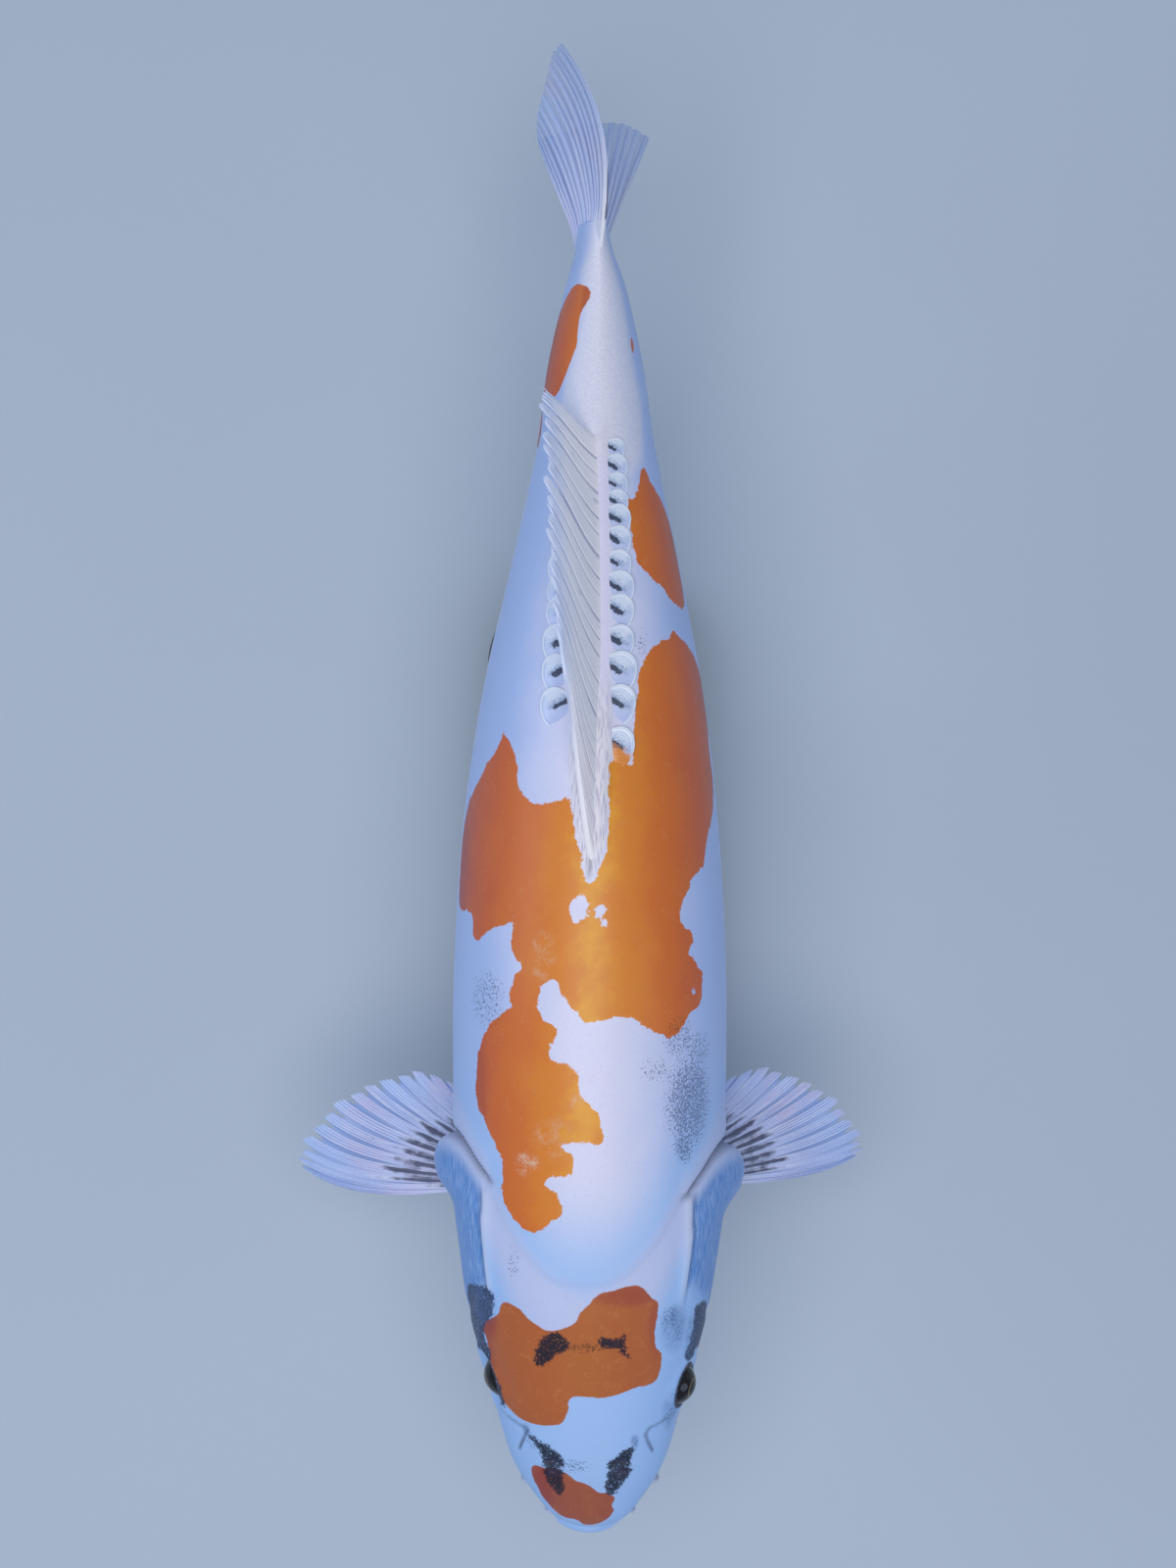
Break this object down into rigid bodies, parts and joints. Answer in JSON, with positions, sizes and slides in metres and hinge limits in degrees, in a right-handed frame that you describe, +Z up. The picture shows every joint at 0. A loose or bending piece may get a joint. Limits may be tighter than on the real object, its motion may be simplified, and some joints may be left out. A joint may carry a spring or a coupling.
{
  "type": "koi carp display model",
  "caption": "Life-size still model of a scaleless koi carp, white with orange and a little black, on a plain display stand.",
  "frame": {"origin": "centre of the stand base's underside", "axes": "+Z up, the snout points to -Y and the tail to +Y, and +X is the fish's left side"},
  "size_m": [0.2413, 0.5842, 0.2633],
  "materials": {
    "skin": "satin",
    "fin": "satin",
    "eye": "polished",
    "stand": "satin"
  },
  "bodies": {
    "root": {"head": "skin", "lower_jaw": "skin", "trunk": "skin", "tail_stem": "skin", "gill_cover_left": "skin", "gill_cover_right": "skin", "eye_left": "eye", "eye_right": "eye", "barbel_front_left": "skin", "barbel_front_right": "skin", "barbel_rear_left": "skin", "barbel_rear_right": "skin", "dorsal_fin": "fin", "tail_fin_upper": "fin", "tail_fin_lower": "fin", "pectoral_fin_left": "fin", "pectoral_fin_right": "fin", "pelvic_fin_left": "fin", "pelvic_fin_right": "fin", "anal_fin": "fin", "stand_base": "stand", "stand_rod_front": "stand", "stand_rod_rear": "stand"}
  },
  "joints": []
}
